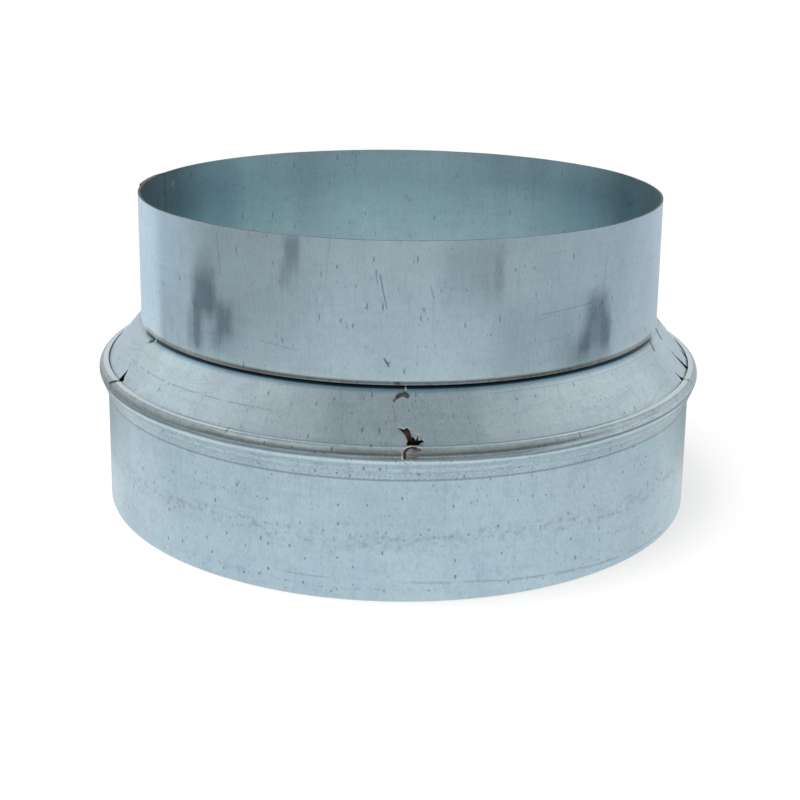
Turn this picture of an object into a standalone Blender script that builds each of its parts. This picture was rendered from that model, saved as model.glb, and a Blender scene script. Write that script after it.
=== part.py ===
# Round duct reducer in galvanised sheet: two rolled collars joined by a pressed cone ring.
# The origin is the centre of the large collar's open end, +Z points to the small end.
import math

import bmesh
import bpy
from mathutils import Matrix, Vector

# Duct sizes, in metres
LARGE_BORE = 0.180        # bore of the duct that the large collar pushes into
STEP_DOWN = 0.020         # how much smaller the other duct's bore is
LARGE_PLAY = 0.0003       # radial play of the large collar in its duct
SMALL_PLAY = 0.0006       # radial play of the small collar in its duct
LARGE_LENGTH = 0.033      # straight wall of the large collar, up to the bead
SMALL_LENGTH = 0.0366     # straight wall of the small collar, above its flared foot

# Sheet
SHEET = 0.0006            # thickness of the galvanised sheet
SEAT_GAP = 0.0003         # clearance where one sheet lies on another

# Bead and hem at the top of the large collar
BEAD_RADIUS = 0.0025      # outside radius of the rolled bead
BEAD_REACH = 0.0025       # how far the bead stands out from the collar
BEAD_RISE = 0.0069        # height of the bead's centre above the straight wall
HEM_ANGLE = 96            # where the hem's cut edge stops, in degrees above the horizontal
CREASE_RADIUS = 0.0008    # bend where the wall starts to lean out to the bead

# Cone ring
CONE_ANGLE = 51           # slope of the cone, in degrees from the horizontal
NECK_LENGTH = 0.0033      # neck of the cone, inside the small collar, too short to show in it
NECK_RADIUS = 0.0010      # bend between the neck and the cone

# Foot of the small collar, flared where it was pushed down onto the cone
FLARE_RADIUS = 0.0019     # bend of the flare
FLARE_ANGLE = 35          # how far the flare leans out at the cut edge, in degrees

# Lengthwise lap seams, each a second layer of sheet spot-welded on the first
LAP_STEPS = 2             # width of a lap, in facets of the turned shape
SMALL_LAP_ANGLE = 170     # where the small collar's lap starts, in degrees from +X
LARGE_LAP_ANGLE = 55      # where the large collar's lap starts, in degrees from +X
LAP_SINK = 0.0002         # how far a lap's layer runs into the wall that it is welded to

# Crimps that lock the cone: each one tore the sheet just above the hem
CRIMP_ANGLES = (-153, -89, -23, 34, 93, 150)  # places of the tears, in degrees from +X
TEAR_WIDTH = 0.0030       # width of a tear at the hem
TEAR_LENGTH = 0.0036      # length of a tear, up the cone

FACETS = 72               # facets around each turned shape
BEND_STEPS = 3            # facets across a small bend
BEAD_STEPS = 9            # facets around the bead

# Places worked out from the sizes above
large_radius = LARGE_BORE / 2 - LARGE_PLAY
small_radius = (LARGE_BORE - STEP_DOWN) / 2 - SMALL_PLAY
neck_radius = small_radius - SHEET - SEAT_GAP
slope = math.radians(CONE_ANGLE)
flare = math.radians(FLARE_ANGLE)
down_slope = Vector((math.cos(slope), -math.sin(slope)))
slope_normal = Vector((math.sin(slope), math.cos(slope)))
bead_centre = Vector((large_radius + BEAD_REACH - BEAD_RADIUS, LARGE_LENGTH + BEAD_RISE))
hem_direction = Vector((math.cos(math.radians(HEM_ANGLE)), math.sin(math.radians(HEM_ANGLE))))
hem_foot = bead_centre + hem_direction * (BEAD_RADIUS - SHEET)
cone_seat = hem_foot - slope_normal * SEAT_GAP


def cone_height(radius):
    """Height of the cone's upper side at a radius."""
    return cone_seat.y + (cone_seat.x - radius) * math.tan(slope)


# The small collar's inner edge stands on the cone, and the flare starts above it
edge_radius = small_radius + FLARE_RADIUS - (FLARE_RADIUS + SHEET) * math.cos(flare)
edge_height = cone_height(edge_radius) + SEAT_GAP / math.cos(slope)
flare_height = edge_height + (FLARE_RADIUS + SHEET) * math.sin(flare)
overall_height = flare_height + SMALL_LENGTH


def arc_points(centre, radius, start, end, steps):
    """Points on an arc in the section plane, angles in radians."""
    points = []
    for i in range(steps + 1):
        angle = start + (end - start) * i / steps
        points.append(centre + radius * Vector((math.cos(angle), math.sin(angle))))
    return points


def bent(points, radii):
    """The open outline through points, with each inner corner bent to its radius."""
    outline = [points[0]]
    for before, corner, after, radius in zip(points, points[1:], points[2:], radii):
        back = (before - corner).normalized()
        ahead = (after - corner).normalized()
        half = back.angle(ahead) / 2
        room = 0.45 * min((before - corner).length, (after - corner).length)
        tangent = min(radius / math.tan(half), room)
        centre = corner + (back + ahead).normalized() * tangent / math.cos(half)
        first = corner + back * tangent - centre
        last = corner + ahead * tangent - centre
        start = math.atan2(first.y, first.x)
        turn = first.angle_signed(last)
        outline += arc_points(centre, first.length, start, start - turn, BEND_STEPS)
    return outline + [points[-1]]


def flank_tangent():
    """Angle on the bead where the leaning flank from the straight wall touches it."""
    reach = Vector((large_radius, LARGE_LENGTH)) - bead_centre
    lean = math.acos(BEAD_RADIUS / reach.length)
    return math.atan2(reach.y, reach.x) + lean


def large_outline():
    """Outer side of the large collar, from the hem's cut edge to the open end."""
    hem_end = math.radians(HEM_ANGLE)
    bead = arc_points(bead_centre, BEAD_RADIUS, hem_end, flank_tangent(), BEAD_STEPS)
    crease = Vector((large_radius, LARGE_LENGTH))
    wall = bent([bead[-1], crease, Vector((large_radius, 0))], [CREASE_RADIUS])
    return bead[:-1] + wall


def cone_run():
    """Length of the cone below the hem, until its cut edge seats inside the bead."""
    pocket = BEAD_RADIUS - SHEET - SEAT_GAP
    runs = []
    for side in (0, SHEET):
        from_centre = cone_seat - slope_normal * side - bead_centre
        along = from_centre.dot(down_slope)
        across = from_centre.length_squared - along ** 2
        runs.append(math.sqrt(pocket ** 2 - across) - along)
    return min(runs)


def cone_outline():
    """Upper side of the cone, from its neck in the small collar to its edge in the bead."""
    corner = Vector((neck_radius, cone_height(neck_radius)))
    neck_top = corner + Vector((0, NECK_LENGTH))
    edge = cone_seat + down_slope * cone_run()
    return bent([neck_top, corner, edge], [NECK_RADIUS])


def small_outline():
    """Outer side of the small collar, from its open end to the flared cut edge."""
    flare_centre = Vector((small_radius + FLARE_RADIUS, flare_height))
    flared = arc_points(flare_centre, FLARE_RADIUS, math.pi, math.pi + flare, BEND_STEPS)
    return [Vector((small_radius, overall_height))] + flared


def new_collection(name):
    collection = bpy.data.collections.new(name)
    bpy.context.scene.collection.children.link(collection)
    return collection


def metal(name, colour, roughness):
    """A galvanised finish as a Principled material."""
    material = bpy.data.materials.new(name)
    material.use_nodes = True
    shader = material.node_tree.nodes["Principled BSDF"]
    shader.inputs["Base Color"].default_value = (*colour, 1)
    shader.inputs["Metallic"].default_value = 0.9
    shader.inputs["Roughness"].default_value = roughness
    return material


def turned_sheet(name, collection, outline, thickness, steps=FACETS):
    """A sheet turned about Z from its outer outline, thickened inwards."""
    mesh = bpy.data.meshes.new(name)
    shape = bmesh.new()
    corners = [shape.verts.new((point.x, 0, point.y)) for point in outline]
    for upper, lower in zip(corners, corners[1:]):
        shape.edges.new((upper, lower))
    shape.to_mesh(mesh)
    shape.free()
    sheet = bpy.data.objects.new(name, mesh)
    collection.objects.link(sheet)

    turn = sheet.modifiers.new("Turn", "SCREW")
    turn.axis = "Z"
    turn.angle = math.tau * steps / FACETS
    turn.steps = steps
    turn.render_steps = steps
    turn.use_merge_vertices = True
    turn.merge_threshold = 0.00001
    turn.use_smooth_shade = True

    wall = sheet.modifiers.new("Sheet", "SOLIDIFY")
    wall.thickness = thickness
    wall.offset = -1
    wall.use_even_offset = True
    return sheet


def finish(sheet, material):
    """Gives a finished sheet its material and clean shading."""
    sheet.data.materials.append(material)
    sheet.modifiers.new("Shading", "WEIGHTED_NORMAL")


def weld_lap(collar, radius, bottom, top, angle, helpers):
    """Joins a lap seam, a second layer of sheet, along the straight wall of a collar."""
    outline = [Vector((radius + SHEET, top)), Vector((radius + SHEET, bottom))]
    layer = turned_sheet(collar.name + "_lap", helpers, outline, SHEET + LAP_SINK, LAP_STEPS)
    layer.rotation_euler.z = math.radians(angle)
    layer.display_type = "WIRE"
    layer.hide_render = True
    seam = collar.modifiers.new("Lap seam", "BOOLEAN")
    seam.operation = "UNION"
    seam.object = layer


def cut_tears(cone, helpers):
    """Cuts a pointed tear through the cone above the hem at each crimp."""
    shape = bmesh.new()
    lean = Matrix.Rotation(math.pi / 2 - slope, 4, "Y")
    for angle in CRIMP_ANGLES:
        wedge = bmesh.ops.create_cone(
            shape, cap_ends=True, segments=3, radius1=1, radius2=1, depth=6 * SHEET)
        # The prism's axis is turned to the cone's normal and one corner points up the slope
        corner_up = Matrix.Rotation(math.pi / 2, 4, "Z")
        stretch = Matrix.Diagonal((TEAR_LENGTH / 1.5, TEAR_WIDTH / math.sqrt(3), 1, 1))
        place = cone_seat - down_slope * TEAR_LENGTH * 2 / 3
        move = Matrix.Translation((place.x, 0, place.y))
        turn = Matrix.Rotation(math.radians(angle), 4, "Z")
        matrix = turn @ move @ lean @ stretch @ corner_up
        bmesh.ops.transform(shape, matrix=matrix, verts=wedge["verts"])
    mesh = bpy.data.meshes.new("tear_cutters")
    shape.to_mesh(mesh)
    shape.free()
    cutters = bpy.data.objects.new("tear_cutters", mesh)
    helpers.objects.link(cutters)
    cutters.display_type = "WIRE"
    cutters.hide_render = True
    tears = cone.modifiers.new("Tears", "BOOLEAN")
    tears.operation = "DIFFERENCE"
    tears.object = cutters


def build():
    for leftover in list(bpy.data.objects):
        bpy.data.objects.remove(leftover, do_unlink=True)
    parts = new_collection("Round duct reducer")
    helpers = new_collection("Cutters and laps")

    large_collar = turned_sheet("large_collar", parts, large_outline(), SHEET)
    weld_lap(large_collar, large_radius, 0, LARGE_LENGTH - CREASE_RADIUS, LARGE_LAP_ANGLE, helpers)
    finish(large_collar, metal("galvanised_wall", (0.62, 0.69, 0.72), 0.38))

    cone = turned_sheet("cone_ring", parts, cone_outline(), SHEET)
    cut_tears(cone, helpers)
    finish(cone, metal("galvanised_pressed", (0.55, 0.60, 0.62), 0.34))

    small_collar = turned_sheet("small_collar", parts, small_outline(), SHEET)
    weld_lap(small_collar, small_radius, flare_height, overall_height, SMALL_LAP_ANGLE, helpers)
    finish(small_collar, metal("galvanised_wall_small", (0.60, 0.67, 0.69), 0.36))


build()
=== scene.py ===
import math

import bmesh
import bpy
from mathutils import Matrix, Vector, noise


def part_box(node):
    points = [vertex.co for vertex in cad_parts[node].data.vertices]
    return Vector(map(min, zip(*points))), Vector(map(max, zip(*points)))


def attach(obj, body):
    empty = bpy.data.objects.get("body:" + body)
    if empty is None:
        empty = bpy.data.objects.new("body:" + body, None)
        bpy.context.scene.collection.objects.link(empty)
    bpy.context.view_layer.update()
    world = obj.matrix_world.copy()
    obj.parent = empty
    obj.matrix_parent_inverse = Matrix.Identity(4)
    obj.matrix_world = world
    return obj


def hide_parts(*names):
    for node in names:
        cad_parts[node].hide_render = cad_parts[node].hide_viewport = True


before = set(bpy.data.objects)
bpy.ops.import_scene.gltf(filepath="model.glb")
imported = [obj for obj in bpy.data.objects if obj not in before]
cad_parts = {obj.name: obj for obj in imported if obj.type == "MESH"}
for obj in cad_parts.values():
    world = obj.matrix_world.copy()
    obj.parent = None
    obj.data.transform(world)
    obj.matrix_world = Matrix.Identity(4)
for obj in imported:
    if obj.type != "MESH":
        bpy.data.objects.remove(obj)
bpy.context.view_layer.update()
print("frame loaded:", ", ".join(sorted(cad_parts)))

# Everything is in metres with Z up. An azimuth is in degrees from the front (-Y), positive to the
# right, and marks on the sheets are placed in millimetres.
mm = 0.001
sheet = {
    "thickness": 0.6 * mm,
    "gap": 0.1 * mm,          # between sheets that lie on each other
    "sharpEdge": 32,          # an edge turned further than this, in degrees, is shaded sharp
    "flatRadius": 85,         # in mm, at which the patterns are laid out flat
}
mmPerDegree = math.radians(sheet["flatRadius"])


# Helpers for the shapes


def smooth(low, high, value):
    # 0 at low, 1 at high, soft between; low may be the larger one
    share = min(1, max(0, (value - low) / (high - low)))
    return share * share * (3 - 2 * share)


def apart(azimuth, other):
    # degrees from the other azimuth, the short way round
    return (azimuth - other + 180) % 360 - 180


class Outline:
    # the outer line of a sheet as radius and height, drawn from its upper end downwards
    def __init__(self, radius, height):
        self.points = [Vector((radius, height))]

    def line(self, radius, height, steps):
        start = self.points[-1]
        for step in range(1, steps + 1):
            self.points.append(start.lerp(Vector((radius, height)), step / steps))

    def arc(self, radius, height, degrees, steps):
        centre = Vector((radius, height))
        arm = self.points[-1] - centre
        for step in range(1, steps + 1):
            turn = Matrix.Rotation(math.radians(degrees * step / steps), 2)
            self.points.append(centre + turn @ arm)

    def stations(self):
        # each point with its outward normal and its reach along the sheet, below 0 downwards
        placed = []
        reach = 0
        for i, point in enumerate(self.points):
            before = self.points[max(0, i - 1)]
            after = self.points[min(len(self.points) - 1, i + 1)]
            along = (after - before).normalized()
            if i:
                reach -= (point - before).length
            placed.append((point, Vector((-along.y, along.x)), reach))
        return placed


# which of a piece's materials each side of its sheet takes
sides = {"outer": 0, "inner": 1, "upperEdge": 2, "lowerEdge": 3}


def closedSection(stations, innerStep):
    # once round the sheet's section: outer side down, cut edge, inner side up, cut edge
    around = [(point, normal, reach, "outer") for point, normal, reach in stations]
    kept = stations[:1] + stations[innerStep:-1:innerStep] + stations[-1:]
    for point, normal, reach in reversed(kept):
        around.append((point - normal * sheet["thickness"], normal, reach, "inner"))
    return around + around[:1]


def stopsAround(first, last, spots, piece):
    # the azimuths at which the section is set, closer together near the spots
    stops = [first]
    while stops[-1] < last - 1e-6:
        near = any(abs(apart(stops[-1], spot)) <= piece["fineReach"] for spot in spots)
        stops.append(min(last, stops[-1] + (piece["fineStep"] if near else piece["step"])))
    return stops


def sweep(section, stops, shift):
    # bends a grid into the section set round Z; shift gives each vertex's move out and up, and
    # its grime and painted shade, rust, and bare metal and painted glints
    bm = bmesh.new()
    columns = len(section) - 1
    rows = len(stops) - 1
    bmesh.ops.create_grid(bm, x_segments=columns, y_segments=rows, size=1)
    marks = bm.verts.layers.float_color.new("marks")
    columnLayer = bm.verts.layers.int.new("column")
    for vert in bm.verts:
        column = round((vert.co.x + 1) / 2 * columns)
        azimuth = stops[round((vert.co.y + 1) / 2 * rows)]
        point, normal, reach = section[column][:3]
        out, up, markTints = shift(azimuth, point, normal, reach)
        angle = math.radians(azimuth - 90)
        radius = point.x + out
        vert.co = (radius * math.cos(angle), radius * math.sin(angle), point.y + up)
        vert[marks] = (*markTints, 1)
        vert[columnLayer] = column
    lastOuter = sum(1 for station in section if station[3] == "outer") - 2
    for face in bm.faces:
        column = min(vert[columnLayer] for vert in face.verts)
        if column <= lastOuter:
            side = "outer"
        elif column == lastOuter + 1:
            side = "lowerEdge"
        elif column == columns - 1:
            side = "upperEdge"
        else:
            side = "inner"
        face.material_index = sides[side]
    return bm


def closeUp(bm):
    # joins the seam of a whole ring, or closes both ends of a lapped one
    bmesh.ops.remove_doubles(bm, verts=bm.verts, dist=0.001 * mm)
    ends = [edge for edge in bm.edges if edge.is_boundary]
    if ends:
        closed = bmesh.ops.holes_fill(bm, edges=ends, sides=0)
        for face in closed["faces"]:
            face.material_index = sides["upperEdge"]
    bmesh.ops.recalc_face_normals(bm, faces=bm.faces)


def newObject(name, data):
    made = bpy.data.objects.new(name, data)
    bpy.context.scene.collection.objects.link(made)
    return made


def newMeshObject(name, bm):
    mesh = bpy.data.meshes.new(name)
    bm.to_mesh(mesh)
    bm.free()
    return newObject(name, mesh)


def newPiece(name, bm, materials, node):
    piece = newMeshObject(name, bm)
    for material in materials:    # in the order of the sides
        piece.data.materials.append(material)
    shadeByAngle(piece.data)
    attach(piece, "root")
    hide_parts(node)
    return piece


def shadeByAngle(mesh):
    mesh.shade_smooth()
    mesh.set_sharp_from_angle(angle=math.radians(sheet["sharpEdge"]))


# Helpers for the materials


class Value:
    # a number socket; sums and products of values add Math nodes
    def __init__(self, paint, socket):
        self.paint = paint
        self.socket = socket

    def maths(self, operation, *inputs):
        return self.paint.node("ShaderNodeMath", {"operation": operation}, dict(enumerate(inputs)))

    def __add__(self, other):
        return self.maths("ADD", self, other)

    def __sub__(self, other):
        return self.maths("SUBTRACT", self, other)

    def __rsub__(self, other):
        return self.maths("SUBTRACT", other, self)

    def __mul__(self, other):
        return self.maths("MULTIPLY", self, other)

    def __truediv__(self, other):
        return self.maths("DIVIDE", self, other)

    def __abs__(self):
        return self.maths("ABSOLUTE", self)

    __radd__ = __add__
    __rmul__ = __mul__

    def larger(self, other):
        return self.maths("MAXIMUM", self, other)

    def ramp(self, low, high):
        # 0 at low, 1 at high, soft between
        return self.paint.node("ShaderNodeMapRange", {"interpolation_type": "SMOOTHSTEP"}, {
            "Value": self, "From Min": low, "From Max": high})

    def band(self, centre, half, soft):
        # 1 within half of the centre, 0 beyond a further soft
        return 1 - abs(self - centre).ramp(half, half + soft)


class Paint:
    # the nodes of a material or a world, with a method for any node: settings first, then sockets
    def __init__(self, owner):
        owner.use_nodes = True
        self.owner = owner
        self.tree = owner.node_tree
        self.surface = self.tree.nodes.get("Principled BSDF")

    def node(self, kind, settings=None, sockets=None, output=0):
        made = self.tree.nodes.new(kind)
        for name, setting in (settings or {}).items():
            setattr(made, name, setting)
        for key, value in (sockets or {}).items():
            self.feed(self.inputOf(made, key), value)
        return Value(self, made.outputs[output])

    def inputOf(self, made, key):
        if isinstance(key, int):
            return made.inputs[key]
        named = [i for i in made.inputs if key in (i.name, i.identifier)]
        return next((i for i in named if i.enabled), named[0])

    def feed(self, socket, value):
        if isinstance(value, Value):
            self.tree.links.new(value.socket, socket)
        elif socket.type == "RGBA" and len(value) == 3:
            socket.default_value = (*value, 1)
        else:
            socket.default_value = value

    def mixed(self, factor, below, above, blend="MIX"):
        # the third of a Mix node's outputs is its colour
        return self.node("ShaderNodeMix", {"data_type": "RGBA", "blend_type": blend}, {
            "Factor_Float": factor, "A_Color": below, "B_Color": above}, output=2)

    def noise(self, place, scale, detail=2.0, roughness=0.5, output="Fac"):
        return self.node("ShaderNodeTexNoise", {}, {
            "Vector": place, "Scale": scale, "Detail": detail, "Roughness": roughness},
            output=output)

    def objectPlace(self):
        return self.node("ShaderNodeTexCoord", output="Object")

    def axis(self, place, name):
        return self.node("ShaderNodeSeparateXYZ", {}, {"Vector": place}, output=name)

    def channel(self, colour, name):
        return self.node("ShaderNodeSeparateColor", {}, {"Color": colour}, output=name)

    def scaled(self, place, x, y, z):
        return self.node("ShaderNodeMapping", {}, {"Vector": place, "Scale": (x, y, z)})

    def set(self, **sockets):
        for name, value in sockets.items():
            self.feed(self.surface.inputs[name], value)


# Camera, table and studio

view = {
    "distance": 408.4 * mm,   # camera to the duct's axis
    "height": 163.0 * mm,
    "tilt": 12.06,            # degrees down from the horizontal
    "roll": 0.78,             # degrees
    "lens": 60.59,            # in mm, as the sensor
    "sensor": 36,
    "shift": -0.2,            # the photograph's upright edges hardly converge
}


def makeCamera():
    data = bpy.data.cameras.new("camera")
    data.sensor_width = view["sensor"]
    data.lens = view["lens"]
    data.shift_y = view["shift"]
    data.clip_start = 0.01
    camera = newObject("camera", data)
    aim = Matrix.Rotation(math.radians(90 - view["tilt"]), 4, "X")
    roll = Matrix.Rotation(math.radians(view["roll"]), 4, "Z")
    camera.matrix_world = Matrix.Translation((0, -view["distance"], view["height"])) @ aim @ roll
    bpy.context.scene.camera = camera


studio = {
    "nearTable": (0.97, 1.0, 1.0),
    "farTable": (0.7, 0.72, 0.72),
    "roomHorizon": (0.24, 0.22, 0.2),  # the dark room behind the camera
    "roomAbove": (0.59, 0.59, 0.59),
    "backdropLow": (0.87, 0.9, 0.93),
    "backdrop": (1.03, 1.02, 1.01),
    "backTable": (0.74, 0.8, 0.87),
    "sideShade": (0.05, 0.05, 0.05),
    "nearShade": (0.1, 0.12, 0.14),
    "tableHalf": 4,                     # metres
    "tableTop": -0.2 * mm,
    "lampPlace": (-0.25, -0.2, 0.9),
    "lampSize": 0.6,
    "lampPower": 9,
}
black = (0, 0, 0)
white = (1, 1, 1)


def makeWorld():
    world = bpy.data.worlds.new("studio")
    bpy.context.scene.world = world
    paint = Paint(world)
    direction = paint.node("ShaderNodeTexCoord", output="Generated")
    right = paint.axis(direction, "X")
    back = paint.axis(direction, "Y")
    up = paint.axis(direction, "Z")
    room = paint.mixed(up.ramp(0.25, 0.8), studio["roomHorizon"], studio["roomAbove"])
    backdrop = paint.mixed(up.ramp(0.05, 0.35), studio["backdropLow"], studio["backdrop"])
    backdrop = paint.mixed(right.ramp(-0.5, 0.6) * 0.05, backdrop, black)
    around = paint.mixed(back.ramp(-0.45, 0.05), room, backdrop)
    # the camera itself sees plain white
    seen = paint.node("ShaderNodeLightPath", output="Is Camera Ray")
    paint.feed(paint.tree.nodes["Background"].inputs["Color"], paint.mixed(seen, around, white))


def tableGlow(paint):
    # what the sheets reflect, a glow painted on the table: bright near the duct, dim far off and
    # beside it, blue behind it, with painted shade close behind the duct and a little darker to the
    # right
    place = paint.objectPlace()
    far = paint.node("ShaderNodeVectorMath", {"operation": "LENGTH"}, {0: place}, output="Value")
    toRight = paint.axis(place, "X") / far
    toBack = paint.axis(place, "Y") / far
    behind = toBack.ramp(-0.15, 0.45)
    aside = toBack.band(-0.42, 0.22, 0.3) * (1 - toRight.ramp(0.58, 0.74))
    glow = paint.mixed(far.ramp(0.16, 0.45), studio["nearTable"], studio["farTable"])
    glow = paint.mixed(far.ramp(0.18, 0.34) * aside * 0.36, glow, studio["sideShade"])
    glow = paint.mixed(far.ramp(0.15, 0.3) * behind, glow, studio["backTable"])
    near = (1 - far.ramp(0.14, 0.26)) * far.ramp(0.07, 0.09)
    glow = paint.mixed(near * behind * 0.52, glow, studio["nearShade"])
    return far, paint.mixed(toRight.ramp(0.3, 0.9) * 0.09, glow, black)


def makeTable():
    bm = bmesh.new()
    bmesh.ops.create_grid(bm, x_segments=1, y_segments=1, size=studio["tableHalf"])
    table = newMeshObject("table", bm)
    table.location.z = studio["tableTop"]
    paint = Paint(bpy.data.materials.new("whiteTable"))
    table.data.materials.append(paint.owner)
    paint.set(**{"Base Color": (0.9, 0.9, 0.9), "Roughness": 0.9})
    far, glow = tableGlow(paint)
    camera = paint.node("ShaderNodeLightPath", output="Is Camera Ray")
    glossy = paint.node("ShaderNodeLightPath", output="Is Glossy Ray")
    # white to the camera, with the duct's shadow near it
    emission = paint.node("ShaderNodeEmission", {}, {
        "Color": paint.mixed(camera, glow, white), "Strength": 1.0})
    share = (camera * (0.6 + 0.4 * far.ramp(0.2, 0.5))).larger(glossy)
    both = paint.node("ShaderNodeMixShader", {}, {0: share, 2: emission})
    paint.tree.links.new(paint.surface.outputs["BSDF"], both.socket.node.inputs[1])
    paint.feed(paint.tree.nodes["Material Output"].inputs["Surface"], both)


def makeLamp():
    data = bpy.data.lights.new("overheadLamp", "AREA")
    data.size = studio["lampSize"]
    data.energy = studio["lampPower"]
    lamp = newObject("overheadLamp", data)
    lamp.location = studio["lampPlace"]
    lamp.rotation_euler = (-Vector(studio["lampPlace"])).to_track_quat("-Z", "Y").to_euler()
    lamp.visible_glossy = False


makeCamera()
makeWorld()
makeTable()
makeLamp()
bpy.context.scene.view_settings.view_transform = "Standard"
print("camera, table and lamp set")


# Galvanised finish

zinc = {
    "outside": (0.45, 0.57, 0.64),
    # paler than the outside, as painted light on the insides
    "inside": (0.592, 0.735, 0.78),
    # near black, for grime and for painted shade
    "grimeAndShade": (0.01, 0.012, 0.016),
    "rust": (0.27, 0.18, 0.11),
    # pale, for bare metal and for painted glints
    "bareAndGlints": (0.85, 0.84, 0.8),
    "speck": (0.3, 0.32, 0.36),
    "cut": (0.05, 0.052, 0.056),
    "cutDust": (0.24, 0.22, 0.2),
    "hem": (0.8, 0.82, 0.82),
    "seam": (0.08, 0.077, 0.078),
    "roughness": 0.3,
    "bumpStrength": 0.5,
    "bumpHeight": 0.04 * mm,
}


class Finish(Paint):
    # the zinc skin of a sheet, in layers that each piece adds to
    def __init__(self, name, tint):
        super().__init__(bpy.data.materials.new(name))
        self.place = self.objectPlace()
        x = self.axis(self.place, "X")
        y = self.axis(self.place, "Y")
        self.azimuth = x.maths("ARCTAN2", x, y * -1) * (180 / math.pi)
        self.height = self.axis(self.place, "Z") * (1 / mm)
        # the sheet laid flat, in millimetres
        self.flat = self.node("ShaderNodeCombineXYZ", {}, {
            "X": self.azimuth * mmPerDegree, "Y": self.height})
        self.colour = tint
        self.roughness = zinc["roughness"]
        self.relief = 0

    def sector(self, first, last, soft):
        return self.azimuth.band((first + last) / 2, (last - first) / 2, soft)

    def tone(self, factor, tint, blend="MULTIPLY"):
        self.colour = self.mixed(factor, self.colour, tint, blend)

    def flanks(self, tones):
        # tones from the first to the last azimuth, with a softness in degrees
        for first, last, soft, tint in tones:
            self.tone(self.sector(first, last, soft), tint)

    def rings(self, tones):
        # tones round the sheet at a height, with a half width and a softness in mm
        for height, half, soft, strength, tint in tones:
            self.tone(self.height.band(height, half, soft) * strength, tint)

    def drawnNoise(self, across, up, detail, roughness=0.5):
        # noise on the flat sheet, finer across or up with a larger number
        return self.noise(self.scaled(self.flat, across, up, 1), 1.0, detail, roughness)

    def sheetGrain(self, mottle):
        # soft spangle, upright streaks and fine rolling lines
        broad = self.noise(self.scaled(self.place, 1, 1, 0.6), 55, 3)
        self.tone(broad.ramp(0.35, 0.7) * 0.22 * mottle, (0.72, 0.76, 0.8))
        cloudy = self.noise(self.place, 260, 3, 0.6)
        self.tone(cloudy.ramp(0.45, 0.75) * 0.16 * mottle, (0.62, 0.66, 0.7))
        streaks = self.noise(self.scaled(self.flat, 1, 0.05, 1), 0.9, 3, 0.6)
        self.tone(streaks.ramp(0.52, 0.78) * 0.2, (0.55, 0.6, 0.64))
        hairs = self.drawnNoise(3.0, 0.08, 2)
        self.tone(hairs.ramp(0.6, 0.74) * 0.14, (0.45, 0.5, 0.55))
        rolled = self.drawnNoise(0.01, 2.2, 3, 0.7)
        self.tone(rolled.ramp(0.5, 0.8) * 0.14, (0.6, 0.64, 0.68))
        levels = self.drawnNoise(0.05, 0.45, 3, 0.6)
        self.tone(levels.ramp(0.48, 0.72) * 0.16 * mottle, (0.66, 0.7, 0.73))
        fine = self.noise(self.scaled(self.place, 1, 1, 0.5), 1500, 2, 0.7)
        self.tone(fine.ramp(0.45, 0.75) * 0.26 * mottle, (0.62, 0.66, 0.68))
        self.tone(fine.ramp(0.55, 0.25) * 0.2 * mottle, (1.18, 1.16, 1.14))
        self.roughness = self.roughness + (broad - 0.5) * 0.1 + (cloudy - 0.5) * 0.1
        self.relief = self.relief + cloudy * 0.25 + streaks * 0.2 + rolled * 0.25 + fine * 0.12

    def dross(self, cell, size, share, depth, stretch, crowd=None):
        # dark specks of dross in cells of so many mm, in a share of them, drawn out upright, over
        # the whole sheet or only in crowds
        place = self.scaled(self.flat, 1 / cell, stretch / cell, 1)
        wobble = self.noise(self.flat, 1.7, 3, 0.6, output="Color")
        shake = self.node("ShaderNodeVectorMath", {"operation": "SCALE"}, {
            0: wobble, "Scale": size * 2.2})
        place = self.node("ShaderNodeVectorMath", {"operation": "ADD"}, {0: place, 1: shake})
        near, dice = [self.node("ShaderNodeTexVoronoi", {
            "voronoi_dimensions": "2D", "feature": "F1"}, {
            "Vector": place, "Scale": 1.0}, output=name) for name in ("Distance", "Color")]
        picked = 1 - self.channel(dice, "Red").ramp(share - 0.02, share)
        if crowd:
            picked = picked * self.noise(self.flat, 0.16, 1).ramp(crowd, crowd + 0.05)
        grown = size * (0.35 + self.channel(dice, "Green"))
        spot = (1 - (near / grown).ramp(0.5, 1.0)) * picked
        self.tone(spot * depth, zinc["speck"])
        self.relief = self.relief + spot * 0.8

    def scratches(self, turn, density, strength=0.3):
        # long fine scratches, turned by so many degrees from upright, fewer with a higher density
        turned = self.node("ShaderNodeMapping", {}, {
            "Vector": self.flat, "Rotation": (0, 0, math.radians(turn))})
        lines = self.noise(self.scaled(turned, 2.6, 0.03, 1), 1.0, 1)
        gaps = self.noise(self.scaled(turned, 0.3, 0.05, 1), 1.0, 2)
        drawn = lines.ramp(density, density + 0.03) * gaps.ramp(0.5, 0.62)
        self.tone(drawn * strength, (0.55, 0.58, 0.6))

    def scratch(self, start, end, half, strength, tint=(0.35, 0.38, 0.42)):
        # one straight scratch, between two places given as azimuth and height
        run = Vector(((end[0] - start[0]) * mmPerDegree, end[1] - start[1]))
        along = run.normalized()
        middle = run.length / 2
        x = (self.azimuth - start[0]) * mmPerDegree
        y = self.height - start[1]
        there = x * along.x + y * along.y
        aside = abs(x * along.y - y * along.x)
        drawn = (1 - aside.ramp(half * 0.6, half * 1.8)) * there.band(middle, middle - 0.6, 0.8)
        self.tone(drawn * strength, tint)

    def wearAndPaintedLight(self):
        # the grime and painted shade, rust, and bare metal and painted glints that the shapes
        # carry, round each crimp and elsewhere
        marks = self.node("ShaderNodeAttribute", {"attribute_name": "marks"})
        grimeAndShade = self.channel(marks, "Red")
        rust = self.channel(marks, "Green")
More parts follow.
